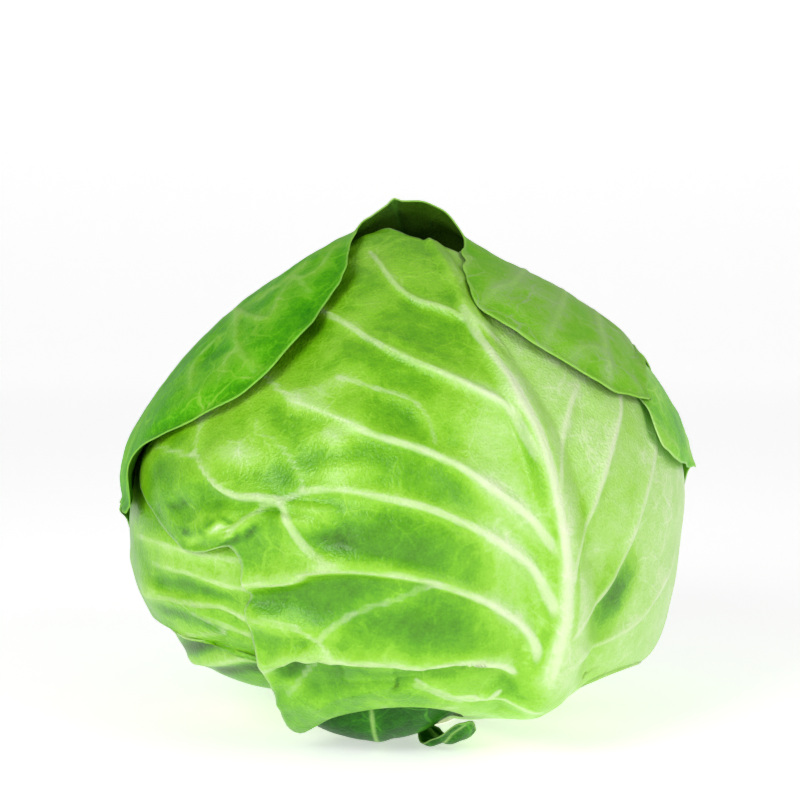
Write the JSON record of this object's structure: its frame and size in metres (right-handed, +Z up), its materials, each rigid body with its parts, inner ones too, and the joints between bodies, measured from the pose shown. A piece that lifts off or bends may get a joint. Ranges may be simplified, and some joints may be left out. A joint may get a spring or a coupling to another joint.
{
  "type": "cabbage head",
  "caption": "Head of green cabbage with veined, overlapping leaves, an outer leaf hooded over the crown and a cut stem it stands on.",
  "frame": {"origin": "centre of the flat cut face under the stem, which is the lowest thing on the head", "axes": "+Z up from the stem to the crown, -Y towards the front, where the big veined front leaf faces, and +X to the right as seen from the front"},
  "size_m": [0.2014, 0.207, 0.1836],
  "materials": {
    "front_leaf": "waxy pale green leaf with white midrib and side veins",
    "hood_leaf": "waxy mid green leaf with pale veins and a grey bloom",
    "side_leaf": "bright green thin leaf margin",
    "inner_leaf": "waxy light green leaf",
    "base_leaf": "dark green leaf, slightly glossy",
    "torn_leaf": "dark green crumpled leaf",
    "heart": "pale tightly folded leaves",
    "stem": "freshly cut pale fibrous stem flesh, matte"
  },
  "bodies": {
    "root": {"front_leaf": "front_leaf", "hood_leaf": "hood_leaf", "side_leaf": "side_leaf", "under_leaf": "inner_leaf", "low_leaf": "inner_leaf", "base_leaf": "base_leaf", "torn_leaf": "torn_leaf", "back_leaf": "inner_leaf", "right_leaf": "inner_leaf", "heart": "heart", "stem": "stem"}
  },
  "joints": []
}
